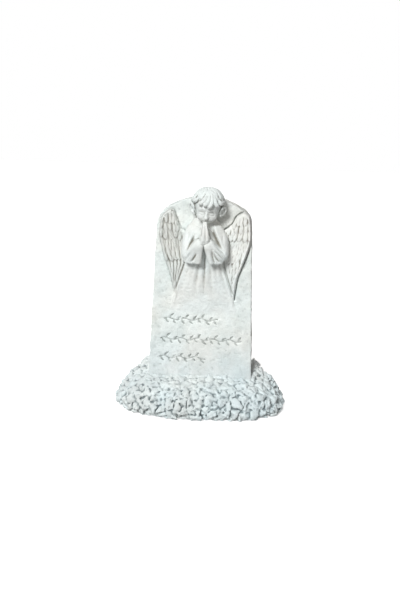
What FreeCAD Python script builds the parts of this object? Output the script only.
"""Praying-angel headstone figurine, cast in resin, as a parametric FreeCAD document.

Frame: millimetres, +Z up, -Y is the front of the figurine, origin on the ground at the centre of the base.

A rough rock mound (hollow cast, filled, closed by a plate on four felt pads) carries an arched tablet in a
socket with two dowels.  A high-relief child angel is bonded to the tablet's face: robe, two sleeves, praying
hands, two wings and a bowed head that stands over the tablet's top edge and hangs on its own dowel.
"""
import FreeCAD
import Part
import Sketcher
import math
import os

Vector = FreeCAD.Vector
Rotation = FreeCAD.Rotation
Placement = FreeCAD.Placement

doc = FreeCAD.newDocument("AngelFigurine")

# ---------------------------------------------------------------------------------------------------------
# Driving dimensions, millimetres
# ---------------------------------------------------------------------------------------------------------
DIMENSIONS = [
    # rock base, closing plate and feet
    ("base_half_width", 86.5),      # widest half width of the mound
    ("base_half_depth", 50.0),      # half of its front-to-back depth
    ("rim_height", 1.0),            # gap between the cast rim and the ground
    ("bulge_height", 8.0),          # height at which the mound is widest
    ("flank_height", 22.0),         # height of the steep rocky flank
    ("front_height", 34.0),         # mound height at the tablet's front face
    ("crest_height", 46.0),         # mound height beside and behind the tablet
    ("crag_depth", 1.8),            # mean depth of the chips in the mound
    ("plate_half_width", 74.0),
    ("plate_half_depth", 38.0),
    ("plate_thickness", 4.0),
    ("cavity_half_width", 68.0),
    ("cavity_half_depth", 32.0),
    ("cavity_roof", 13.0),          # height of the cavity's roof
    ("pad_radius", 8.0),
    ("pad_thickness", 2.0),
    ("pad_seat_depth", 1.0),
    ("pad_offset_across", 48.0),
    ("pad_offset_deep", 18.0),
    # tablet
    ("slab_thickness", 22.0),
    ("slab_foot_height", 24.0),     # underside of the tablet, in the base socket
    ("slab_foot_half_width", 52.6),
    ("slab_shoulder_height", 197.0),
    ("slab_shoulder_half_width", 45.9),
    ("slab_top_height", 215.5),
    ("slab_corner_radius", 5.0),
    ("slab_edge_chamfer", 1.2),
    ("socket_clearance", 0.3),
    ("carving_depth", 0.8),
    ("stem_width", 1.0),
    ("leaf_pitch", 4.5),
    ("leaf_length", 6.0),
    ("leaf_width", 2.6),
    # dowels
    ("dowel_radius", 2.5),
    ("dowel_clearance", 0.05),
    ("dowel_chamfer", 0.5),
    ("dowel_spacing", 60.0),
    ("dowel_foot_height", 14.5),
    ("dowel_length", 30.0),
    ("head_dowel_radius", 2.0),
    ("head_dowel_length", 18.0),
    ("head_dowel_height", 205.0),
    # angel
    ("figure_offset", 1.0),         # the angel's axis, to the right of the tablet's
    ("wing_thickness", 2.2),
    ("feather_step", 0.9),
    ("head_centre_height", 208.8),
    ("head_half_width", 14.2),
    ("head_half_length", 17.6),
    ("head_half_depth", 16.4),
    ("head_forward", 14.0),         # head centre, forward of the tablet's face
    ("head_bow", 28.0),             # degrees the head is bowed forward
    ("head_lean", 5.0),             # degrees the crown leans to the angel's left
    ("neck_radius", 7.0),
    ("glue_gap", 0.1),
]

sheet = doc.addObject("Spreadsheet::Sheet", "Sizes")
for row, (alias, value) in enumerate(DIMENSIONS, start=1):
    sheet.set(f"A{row}", alias)
    sheet.set(f"B{row}", str(value))
    sheet.setAlias(f"B{row}", alias)
doc.recompute()


def size(alias):
    """A driving dimension's value."""
    return float(sheet.get(alias))


def cell(alias):
    """A driving dimension as an expression."""
    return f"Sizes.{alias}"


def bind(obj, **expressions):
    """Binds properties to expressions; a double underscore stands for a dot."""
    for path, expression in expressions.items():
        obj.setExpression(path.replace("__", "."), expression)
    return obj


# ---------------------------------------------------------------------------------------------------------
# Helpers
# ---------------------------------------------------------------------------------------------------------
def ellipse(name, across, deep, height, centre_across="0", centre_deep="0"):
    """A horizontal ellipse whose half sizes, height and centre are expressions.  It is wider than deep."""
    ring = doc.addObject("Part::Ellipse", name)
    return bind(ring, MajorRadius=across, MinorRadius=deep, Placement__Base__x=centre_across,
                Placement__Base__y=centre_deep, Placement__Base__z=height)


def loft(name, sections, ruled=True):
    """A closed solid through horizontal sections."""
    body = doc.addObject("Part::Loft", name)
    body.Sections = sections
    body.Solid = True
    body.Ruled = ruled
    return body


def cut(name, base, tools):
    """base with each tool taken away, one after the other."""
    for number, tool in enumerate(tools):
        last = number == len(tools) - 1
        result = doc.addObject("Part::Cut", name if last else f"{name}_step{number}")
        result.Base = base
        result.Tool = tool
        base = result
    return base


def fuse(name, pieces):
    """One solid out of overlapping pieces."""
    result = doc.addObject("Part::MultiFuse", name)
    result.Shapes = pieces
    return result


def cylinder(name, radius, length, placement):
    """A cylinder along its placement's local Z."""
    rod = doc.addObject("Part::Cylinder", name)
    rod.Placement = placement
    return bind(rod, Radius=radius, Height=length)


def origin_plane(body, role):
    """One of a body's own origin planes."""
    return next(f for f in body.Origin.OriginFeatures if f.Role == role)


def new_sketch(body, name, role="XY_Plane", offset="0"):
    """A sketch on one of the body's planes, lifted along the plane's normal by an expression."""
    sketch = body.newObject("Sketcher::SketchObject", name)
    sketch.AttachmentSupport = [(origin_plane(body, role), "")]
    sketch.MapMode = "FlatFace"
    sketch.setExpression("AttachmentOffset.Base.z", offset)
    return sketch


def circle(sketch, radius, centre_across="0", centre_up="0"):
    """A circle whose radius and centre are expressions."""
    edge = sketch.addGeometry(Part.Circle(Vector(3, 4, 0), Vector(0, 0, 1), 2.0))
    named = [("Radius", None, 2.0, radius), ("DistanceX", 3, 3.0, centre_across),
             ("DistanceY", 3, 4.0, centre_up)]
    for kind, first, value, expression in named:
        if first is None:
            number = sketch.addConstraint(Sketcher.Constraint(kind, edge, value))
        else:
            number = sketch.addConstraint(Sketcher.Constraint(kind, -1, 1, edge, first, value))
        sketch.setExpression(f"Constraints[{number}]", expression)
    return edge


def polygon(sketch, corners):
    """A closed run of straight edges, fixed in place."""
    for start, end in zip(corners, corners[1:] + corners[:1]):
        edge = sketch.addGeometry(Part.LineSegment(start, end))
        sketch.addConstraint(Sketcher.Constraint("Block", edge))


def pad(body, sketch, name, length, reverse=False, midplane=False):
    """A sketch extruded into a solid by an expression's length."""
    feature = body.newObject("PartDesign::Pad", name)
    feature.Profile = sketch
    feature.Reversed = reverse
    feature.Midplane = midplane
    feature.setExpression("Length", length)
    return feature


def pocket(body, sketch, name, depth, reverse=False, midplane=False):
    """A sketch cut out of a solid to an expression's depth; it stops the build if it removed nothing."""
    doc.recompute()
    before = body.Shape.Volume
    feature = body.newObject("PartDesign::Pocket", name)
    feature.Profile = sketch
    feature.Reversed = reverse
    feature.Midplane = midplane
    feature.setExpression("Length", depth)
    doc.recompute()
    if body.Shape.Volume > before - 1e-3:
        raise RuntimeError(f"{name} cut nothing")
    return feature


def dress(body, kind, name, choose_edges, **expressions):
    """A fillet or chamfer on the edges that a function picks from the body's shape."""
    doc.recompute()
    base = body.Tip
    edges = choose_edges(base.Shape)
    feature = body.newObject(kind, name)
    feature.Base = (base, edges)
    bind(feature, **expressions)
    doc.recompute()
    return feature


FIGURE = cell("figure_offset")
FACE = -size("slab_thickness") / 2          # the tablet's front face, where the relief is bonded


# ---------------------------------------------------------------------------------------------------------
# Rock base: mound, socket for the tablet, cavity, rebate for the plate and dowel holes
# ---------------------------------------------------------------------------------------------------------
CRAG_CORNERS = 32
PLAN_SQUARENESS = 2.5       # 2 is an oval, and larger is squarer


def crag_outline(name, height, half_width, half_depth, centre_deep, level):
    """A closed, irregular polygon on a squarish oval: one ring of corners of the chipped rock."""
    corners = []
    for number in range(CRAG_CORNERS):
        turn = 2 * math.pi * (number + 0.5 * (level % 2)) / CRAG_CORNERS
        chip = 1 - size("crag_depth") / size("base_half_width") * (
            1 + 0.6 * math.sin(4.1 * number + 2.3 * level) + 0.4 * math.sin(7.7 * number + 5.1 * level))
        across, deep = math.cos(turn), math.sin(turn)
        reach = (abs(across) ** PLAN_SQUARENESS + abs(deep) ** PLAN_SQUARENESS) ** (-1 / PLAN_SQUARENESS)
        corners.append(Vector(half_width * reach * across * chip,
                              centre_deep + half_depth * reach * deep * chip, height))
    ring = doc.addObject("Part::Feature", name)
    ring.Shape = Part.makePolygon(corners + corners[:1])
    return ring


def make_rock_base(slab_socket):
    wide, deep = size("base_half_width"), size("base_half_depth")
    crest = size("slab_foot_half_width")
    # name, height, half width, half depth, centre in depth
    rings = [
        ("rim", size("rim_height"), wide - 2.0, deep - 2.5, 0.0),
        ("bulge", size("bulge_height"), wide + 1.5, deep + 1.0, 0.0),
        ("flank", size("flank_height"), wide - 6.5, deep - 5.0, 0.0),
        ("shoulder", size("front_height") - 4, wide - 13.0, deep - 16.0, 2.0),
        ("front", size("front_height") + 1, wide - 19.0, deep - 25.0, 10.5),
        ("crest", size("crest_height"), crest + 3.0, 13.0, 13.0),
    ]
    outlines = [crag_outline(f"crag_{ring}", *rest, level) for level, (ring, *rest) in enumerate(rings)]
    mound = loft("mound", outlines)
    cavity = loft("cavity", [
        ellipse("cavity_floor", cell("cavity_half_width"), cell("cavity_half_depth"),
                f"{cell('rim_height')} + {cell('plate_thickness')} - 0.01"),
        ellipse("cavity_top", cell("cavity_half_width") + " - 4", cell("cavity_half_depth") + " - 4",
                cell("cavity_roof")),
    ])
    rebate = loft("plate_rebate", [
        ellipse("rebate_floor", cell("plate_half_width") + " + 0.2", cell("plate_half_depth") + " + 0.2",
                cell("rim_height") + " - 1"),
        ellipse("rebate_top", cell("plate_half_width") + " + 0.2", cell("plate_half_depth") + " + 0.2",
                f"{cell('rim_height')} + {cell('plate_thickness')}"),
    ])
    holes = []
    for side, sign in (("left", -1), ("right", 1)):
        hole = cylinder(f"base_hole_{side}", f"{cell('dowel_radius')} + {cell('dowel_clearance')}",
                        f"{cell('slab_foot_height')} - {cell('dowel_foot_height')} + 1",
                        Placement(Vector(0, 0, 0), Rotation()))
        bind(hole, Placement__Base__x=f"{sign} * {cell('dowel_spacing')} / 2",
             Placement__Base__z=f"{cell('dowel_foot_height')} - 0.2")
        holes.append(hole)
    return cut("rock_base", mound, [slab_socket, cavity, rebate] + holes)


def make_slab_socket():
    """The space that the tablet's foot takes in the mound, with a thin gap all round."""
    block = doc.addObject("Part::Box", "slab_socket")
    gap = cell("socket_clearance")
    return bind(block, Length=f"2 * ({cell('slab_foot_half_width')} + {gap})",
                Width=f"{cell('slab_thickness')} + 2 * {gap}", Height="60",
                Placement__Base__x=f"-({cell('slab_foot_half_width')} + {gap})",
                Placement__Base__y=f"-({cell('slab_thickness')} / 2 + {gap})",
                Placement__Base__z=cell("slab_foot_height"))


def make_ballast_core():
    """The cheap cast filling in the mound's cavity."""
    gap = cell("glue_gap")
    wide, deep = f"{cell('cavity_half_width')} - {gap}", f"{cell('cavity_half_depth')} - {gap}"
    return loft("ballast_core", [
        ellipse("core_floor", wide, deep, f"{cell('rim_height')} + {cell('plate_thickness')}"),
        ellipse("core_top", f"{wide} - 4", f"{deep} - 4", f"{cell('cavity_roof')} - {gap}"),
    ])


# ---------------------------------------------------------------------------------------------------------
# Closing plate and felt pads
# ---------------------------------------------------------------------------------------------------------
PAD_PLACES = [("front_left", -1, -1), ("front_right", 1, -1), ("rear_left", -1, 1), ("rear_right", 1, 1)]


def make_bottom_plate():
    """An oval plate flush with the mound's rim, with a shallow seat for each pad."""
    plate = loft("plate_blank", [
        ellipse("plate_floor", cell("plate_half_width"), cell("plate_half_depth"), cell("rim_height")),
        ellipse("plate_top", cell("plate_half_width"), cell("plate_half_depth"),
                f"{cell('rim_height')} + {cell('plate_thickness')}"),
    ])
    seats = []
    for place, across, deep in PAD_PLACES:
        seat = cylinder(f"pad_seat_{place}", cell("pad_radius") + " + 0.2", cell("pad_seat_depth") + " + 1",
                        Placement(Vector(0, 0, 0), Rotation()))
        bind(seat, Placement__Base__x=f"{across} * {cell('pad_offset_across')}",
             Placement__Base__y=f"{deep} * {cell('pad_offset_deep')}",
             Placement__Base__z=cell("rim_height") + " - 1")
        seats.append(seat)
    return cut("bottom_plate", plate, seats)


def make_foot_pad(place, across, deep):
    body = doc.addObject("PartDesign::Body", f"foot_pad_{place}")
    sketch = new_sketch(body, f"pad_outline_{place}")
    circle(sketch, cell("pad_radius"))
    pad(body, sketch, f"pad_disc_{place}", cell("pad_thickness"))
    return bind(body, Placement__Base__x=f"{across} * {cell('pad_offset_across')}",
                Placement__Base__y=f"{deep} * {cell('pad_offset_deep')}")


# ---------------------------------------------------------------------------------------------------------
# Tablet and dowels
# ---------------------------------------------------------------------------------------------------------
# Carved bands below the angel: left end, right end and height of each stem
ORNAMENT_ROWS = [(-37.0, 17.0, 93.5), (-40.0, 41.0, 73.0), (-41.5, 5.0, 53.5)]


def make_stele_slab():
    """A tapering tablet with an arched top, dowel holes in its foot and one in its face behind the head."""
    body = doc.addObject("PartDesign::Body", "stele_slab")
    sketch = new_sketch(body, "slab_outline", "XZ_Plane")
    foot, shoulder = size("slab_foot_half_width"), size("slab_shoulder_half_width")
    low, high, top = size("slab_foot_height"), size("slab_shoulder_height"), size("slab_top_height")
    corners = [Vector(-foot, low, 0), Vector(foot, low, 0),
               Vector(shoulder, high, 0), Vector(-shoulder, high, 0)]
    bottom = sketch.addGeometry(Part.LineSegment(corners[0], corners[1]))
    right = sketch.addGeometry(Part.LineSegment(corners[1], corners[2]))
    arch = sketch.addGeometry(Part.Arc(corners[2], Vector(0, top, 0), corners[3]))
    left = sketch.addGeometry(Part.LineSegment(corners[3], corners[0]))
    start, end = 1, 2
    for first, second in ((bottom, right), (left, bottom)):
        sketch.addConstraint(Sketcher.Constraint("Coincident", first, end, second, start))
    sketch.addConstraint(Sketcher.Constraint("Coincident", right, end, arch, start))
    sketch.addConstraint(Sketcher.Constraint("Coincident", arch, end, left, start))
    sketch.addConstraint(Sketcher.Constraint("Symmetric", bottom, start, bottom, end, -2))
    sketch.addConstraint(Sketcher.Constraint("Symmetric", right, end, left, start, -2))
    radius = ((high - top) ** 2 + shoulder ** 2) / (2 * (top - high))
    named = [
        ("DistanceX", (bottom, start, bottom, end), 2 * foot, f"2 * {cell('slab_foot_half_width')}"),
        ("DistanceX", (left, start, right, end), 2 * shoulder, f"2 * {cell('slab_shoulder_half_width')}"),
        ("DistanceY", (-1, 1, bottom, start), low, cell("slab_foot_height")),
        ("DistanceY", (-1, 1, right, end), high, cell("slab_shoulder_height")),
    ]
    for kind, between, value, expression in named:
        number = sketch.addConstraint(Sketcher.Constraint(kind, *between, value))
        sketch.setExpression(f"Constraints[{number}]", expression)
    number = sketch.addConstraint(Sketcher.Constraint("Radius", arch, radius))
    rise = f"({cell('slab_top_height')} - {cell('slab_shoulder_height')})"
    sketch.setExpression(f"Constraints[{number}]",
                         f"({rise} * {rise} + {cell('slab_shoulder_half_width')} * "
                         f"{cell('slab_shoulder_half_width')}) / (2 * {rise})")
    pad(body, sketch, "slab_block", cell("slab_thickness"), midplane=True)
    dress(body, "PartDesign::Fillet", "slab_corners", shoulder_edges, Radius=cell("slab_corner_radius"))

    holes = new_sketch(body, "slab_dowel_holes", "XY_Plane", cell("slab_foot_height"))
    for sign in (-1, 1):
        circle(holes, f"{cell('dowel_radius')} + {cell('dowel_clearance')}",
               f"{sign} * {cell('dowel_spacing')} / 2")
    pocket(body, holes, "slab_dowel_pocket", cell("dowel_length") + " - 9", reverse=True)

    head_hole = new_sketch(body, "slab_head_hole", "XZ_Plane", cell("slab_thickness") + " / 2")
    circle(head_hole, f"{cell('head_dowel_radius')} + {cell('dowel_clearance')}",
           f"{FIGURE} + 2", cell("head_dowel_height"))
    pocket(body, head_hole, "slab_head_pocket", cell("head_dowel_length") + " / 2 + 0.3")

    dress(body, "PartDesign::Chamfer", "slab_edges", face_outline_edges, Size=cell("slab_edge_chamfer"))
    for row, (left_end, right_end, height) in enumerate(ORNAMENT_ROWS, start=1):
        carve_leaf_band(body, row, left_end, right_end, height)
    return body


def carve_leaf_band(body, row, left_end, right_end, height):
    """A shallow running band on the tablet's face: a straight stem with leaves on alternate sides."""
    half_stem = size("stem_width") / 2
    stem = new_sketch(body, f"stem_{row}", "XZ_Plane", f"{cell('slab_thickness')} / 2")
    corners = [Vector(left_end, height - half_stem, 0), Vector(right_end, height - half_stem, 0),
               Vector(right_end, height + half_stem, 0), Vector(left_end, height + half_stem, 0)]
    polygon(stem, corners)
    pocket(body, stem, f"stem_groove_{row}", cell("carving_depth"))

    pitch, length, half_leaf = size("leaf_pitch"), size("leaf_length"), size("leaf_width") / 2
    leaves = new_sketch(body, f"leaves_{row}", "XZ_Plane", f"{cell('slab_thickness')} / 2")
    for number in range(int((right_end - left_end) / pitch)):
        side = 1 if number % 2 else -1
        lean = math.radians(58)
        along = Vector(math.cos(lean), side * math.sin(lean), 0)
        root = Vector(left_end + pitch * (number + 0.2), height + side * (half_stem + 0.5), 0)
        centre = root + along * (length / 2)
        side_point = centre + Vector(-along.y, along.x, 0) * half_leaf
        leaf = leaves.addGeometry(Part.Ellipse(root + along * length, side_point, centre))
        leaves.addConstraint(Sketcher.Constraint("Block", leaf))
    pocket(body, leaves, f"leaf_hollows_{row}", cell("carving_depth"))


def shoulder_edges(shape):
    """The two edges where the tablet's sides meet its arch."""
    height = size("slab_shoulder_height")
    found = []
    for number, edge in enumerate(shape.Edges, start=1):
        box = edge.BoundBox
        if box.XLength < 1e-3 and box.ZLength < 1e-3 and abs(box.ZMin - height) < 1e-3:
            found.append(f"Edge{number}")
    return found


def end_edges(shape):
    """The circular edges of a rod."""
    return [f"Edge{n}" for n, edge in enumerate(shape.Edges, start=1) if edge.BoundBox.ZLength < 1e-3]


def face_outline_edges(shape):
    """The outline edges of the front and back faces, apart from the hidden foot and the dowel hole."""
    found = []
    for number, edge in enumerate(shape.Edges, start=1):
        box = edge.BoundBox
        on_face = box.YLength < 1e-3 and abs(abs(box.YMin) - size("slab_thickness") / 2) < 1e-3
        is_foot = box.ZMax < size("slab_foot_height") + 1e-3
        is_hole = box.XLength < 6 and box.ZLength < 6 and abs(box.Center.x) < 20
        if on_face and not is_foot and not is_hole:
            found.append(f"Edge{number}")
    return found


def make_slab_dowel(side, sign):
    """A steel pin between the base and the tablet's foot, with chamfered ends."""
    body = doc.addObject("PartDesign::Body", f"slab_dowel_{side}")
    sketch = new_sketch(body, f"dowel_section_{side}")
    circle(sketch, cell("dowel_radius"))
    pad(body, sketch, f"dowel_rod_{side}", cell("dowel_length"))
    dress(body, "PartDesign::Chamfer", f"dowel_ends_{side}", end_edges, Size=cell("dowel_chamfer"))
    return bind(body, Placement__Base__x=f"{sign} * {cell('dowel_spacing')} / 2",
                Placement__Base__z=cell("dowel_foot_height"))


def make_head_dowel():
    """A pin from the tablet's face into the back of the head."""
    body = doc.addObject("PartDesign::Body", "head_dowel")
    sketch = new_sketch(body, "head_dowel_section", "XZ_Plane")
    circle(sketch, cell("head_dowel_radius"))
    pad(body, sketch, "head_dowel_rod", cell("head_dowel_length"), midplane=True)
    return bind(body, Placement__Base__x=f"{FIGURE} + 2",
                Placement__Base__y=f"-{cell('slab_thickness')} / 2",
                Placement__Base__z=cell("head_dowel_height"))


# ---------------------------------------------------------------------------------------------------------
# Angel: robe, sleeves, hands, head and wings
# ---------------------------------------------------------------------------------------------------------
def behind_face():
    """Everything behind the tablet's face, which trims the relief pieces."""
    block = doc.addObject("Part::Box", "behind_face")
    return bind(block, Length="200", Width="100", Height="300", Placement__Base__x="-100",
                Placement__Base__y=f"-{cell('slab_thickness')} / 2")


def relief(name, levels, trims, sign=1):
    """A casting bonded to the tablet's face, lofted through horizontal ellipses and trimmed.

    Each level gives the height, the centre's distance from the angel's axis, the half width, how far the
    centre stands off the tablet's face, and the half depth.
    """
    sections = [
        ellipse(f"{name}_at_{height:.0f}", f"{half_width}", f"{half_depth}", f"{height}",
                f"{FIGURE} + {sign * across}", f"-({cell('slab_thickness')} / 2 + {stand_off})")
        for height, across, half_width, stand_off, half_depth in levels
    ]
    return cut(name, loft(f"{name}_blank", sections), trims)


# Height, distance from the axis, half width, stand-off and half depth of each level
ROBE_LEVELS = [(104, 0, 33.0, 0, 1.5), (121, 0, 28.4, 0, 6.0), (136, 0, 23.4, 0, 9.0), (151, 0, 18.6, 0, 11.0),
               (168, 0, 17.0, 0, 12.5), (182, 0, 16.0, 0, 11.0), (189, 0, 9.0, 0, 8.5)]
SLEEVE_LEVELS = [(154, 10, 8.8, 14, 6), (159, 10.3, 9.8, 13.5, 8.5), (167, 10.8, 10.3, 12.5, 9.5),
                 (175, 12, 9.8, 10.5, 8.5), (183, 13.5, 7.9, 8, 6.5), (189.5, 13, 4.6, 6, 4)]
HANDS_LEVELS = [(165, 0.5, 4.6, 14, 4.4), (176, 0.5, 4.7, 17.5, 4.6), (186, 0.5, 3.9, 20.5, 3.8),
                (195, 0.5, 2.2, 22.5, 2.0)]


def ball(name, centre, radii, rotation=None):
    """An ellipsoid with half sizes along its own X, Y and Z."""
    round_piece = doc.addObject("Part::Ellipsoid", name)
    round_piece.Radius2, round_piece.Radius3, round_piece.Radius1 = radii
    round_piece.Placement = Placement(centre, rotation or Rotation())
    return round_piece


def make_head(trims):
    """A bowed child's head with a cap of hair, ears, cheeks and a short neck."""
    axis = size("figure_offset")
    centre = Vector(axis + 2.2, FACE - size("head_forward"), size("head_centre_height"))
    turn = Rotation(Vector(0, 1, 0), size("head_lean")) * Rotation(Vector(1, 0, 0), size("head_bow"))

    def at(across, deep, up):
        return centre + turn.multVec(Vector(across, deep, up))

    skull = doc.addObject("Part::Ellipsoid", "skull")
    skull.Placement = Placement(centre, turn)
    bind(skull, Radius1=cell("head_half_length"), Radius2=cell("head_half_width"),
         Radius3=cell("head_half_depth"))
    pieces = [
        skull,
        ball("jaw", at(0, -6.5, -8.5), (9.5, 8.5, 9.0), turn),
        ball("ear_left", at(-13.6, -1.0, -4.5), (2.2, 3.2, 4.2), turn),
        ball("ear_right", at(13.6, -1.0, -4.5), (2.2, 3.2, 4.2), turn),
        ball("nose", at(0, -15.5, -6.0), (1.8, 2.2, 2.8), turn),
        cylinder("neck", cell("neck_radius"), "15", Placement(Vector(axis, FACE - 8, 183), Rotation())),
    ]
    return cut("angel_head", fuse("head_blank", pieces), trims)


# Edges of the wing on the viewer's right, from the top down: distance from the angel's axis, height
WING_TOP = [(6.0, 186.0), (21.5, 185.8), (25.9, 190.5), (28.8, 197.0), (32.4, 202.6)]
WING_OUTER = [(38.2, 201.6), (42.0, 197.0), (44.2, 187.5), (44.4, 177.0), (42.6, 167.5), (39.5, 157.0),
              (35.5, 145.3), (32.0, 134.5), (29.8, 121.0)]
WING_INNER = 8.0
# Rows of overlapping feathers, the longest underneath: name, height where the row ends, number of feathers
FEATHER_ROWS = [("primaries", 121.0, 0), ("secondaries", 151.0, 4), ("medians", 171.0, 5), ("coverts", 181.5, 6)]


def outer_edge(height):
    """Where the wing's outer edge is at a height."""
    for (across_1, up_1), (across_2, up_2) in zip(WING_OUTER, WING_OUTER[1:]):
        if up_2 <= height <= up_1:
            return across_1 + (across_2 - across_1) * (up_1 - height) / (up_1 - up_2)
    return WING_OUTER[-1][0]


def feather_row_outline(end, feathers):
    """The wing's outline above a height, with a round-ended feather for each scallop of the lower edge."""
    outline = WING_TOP + [point for point in WING_OUTER if point[1] > end + 3]
    across_outer = outer_edge(end + 3)
    if feathers:
        width = (across_outer - WING_INNER) / feathers
        for feather in range(feathers):
            middle = across_outer - width * (feather + 0.5)
            for step in range(7):
                turn = math.pi * step / 6
                outline.append((middle + 0.5 * width * math.cos(turn), end + 3 - 3 * math.sin(turn)))
    else:
        outline += [WING_OUTER[-1], (WING_INNER, WING_OUTER[-1][1])]
    return outline


def make_wing(side, sign, trims):
    """A flat-backed wing in steps, each row of feathers prouder than the one below, trimmed by the robe."""
    body = doc.addObject("PartDesign::Body", f"wing_blank_{side}")
    for step, (row, end, feathers) in enumerate(FEATHER_ROWS):
        sketch = new_sketch(body, f"{row}_{side}", "XZ_Plane", f"{cell('slab_thickness')} / 2")
        outline = feather_row_outline(end, feathers)
        corners = [Vector(sign * across, up, 0) for across, up in outline]
        polygon(sketch, [c for c, following in zip(corners, corners[1:] + corners[:1])
                         if c.distanceToPoint(following) > 1e-6])
        pad(body, sketch, f"{row}_pad_{side}", f"{cell('wing_thickness')} + {step} * {cell('feather_step')}")
        doc.recompute()
    body.setExpression("Placement.Base.x", FIGURE)
    return cut(f"wing_{side}", body, trims)


def trimming_copy(slab):
    """The finished tablet as a tool that trims the head standing over its top edge."""
    tool = doc.addObject("Part::Feature", "slab_trim")
    tool.Shape = slab.Shape.copy()
    return tool


# ---------------------------------------------------------------------------------------------------------
# Build
# ---------------------------------------------------------------------------------------------------------
slab = make_stele_slab()
doc.recompute()
rear = behind_face()
robe = relief("angel_robe", ROBE_LEVELS, [rear])
sleeves = [relief("sleeve_left", SLEEVE_LEVELS, [rear, robe], -1),
           relief("sleeve_right", SLEEVE_LEVELS, [rear, robe])]
hands = relief("praying_hands", HANDS_LEVELS, [robe, *sleeves])
head_dowel = make_head_dowel()
doc.recompute()
head = make_head([trimming_copy(slab), robe, hands, *sleeves, head_dowel])
doc.recompute()
wings = [make_wing("left", -1, [robe, sleeves[0]]), make_wing("right", 1, [robe, sleeves[1]])]
sub_parts = [
    make_rock_base(make_slab_socket()), make_ballast_core(), make_bottom_plate(),
    *[make_foot_pad(*place) for place in PAD_PLACES],
    slab, make_slab_dowel("left", -1), make_slab_dowel("right", 1), head_dowel,
    robe, *sleeves, hands, head, *wings,
]
doc.recompute()

for part in doc.Objects:
    if "Invalid" in part.State or "Error" in part.State:
        raise RuntimeError(f"{part.Label} failed: {part.State}")

os.makedirs("parts", exist_ok=True)
for part in sub_parts:
    shape = part.Shape
    if shape.isNull() or not shape.isValid() or not shape.Solids:
        raise RuntimeError(f"{part.Label} has no valid solid")
    shape.exportStep(os.path.join("parts", f"{part.Label}.step"))
    box = shape.BoundBox
    print(f"{part.Label:24s} {len(shape.Solids)} solid  {shape.Volume / 1000:8.2f} cm3  "
          f"{box.XLength:6.1f} x {box.YLength:6.1f} x {box.ZLength:6.1f}")
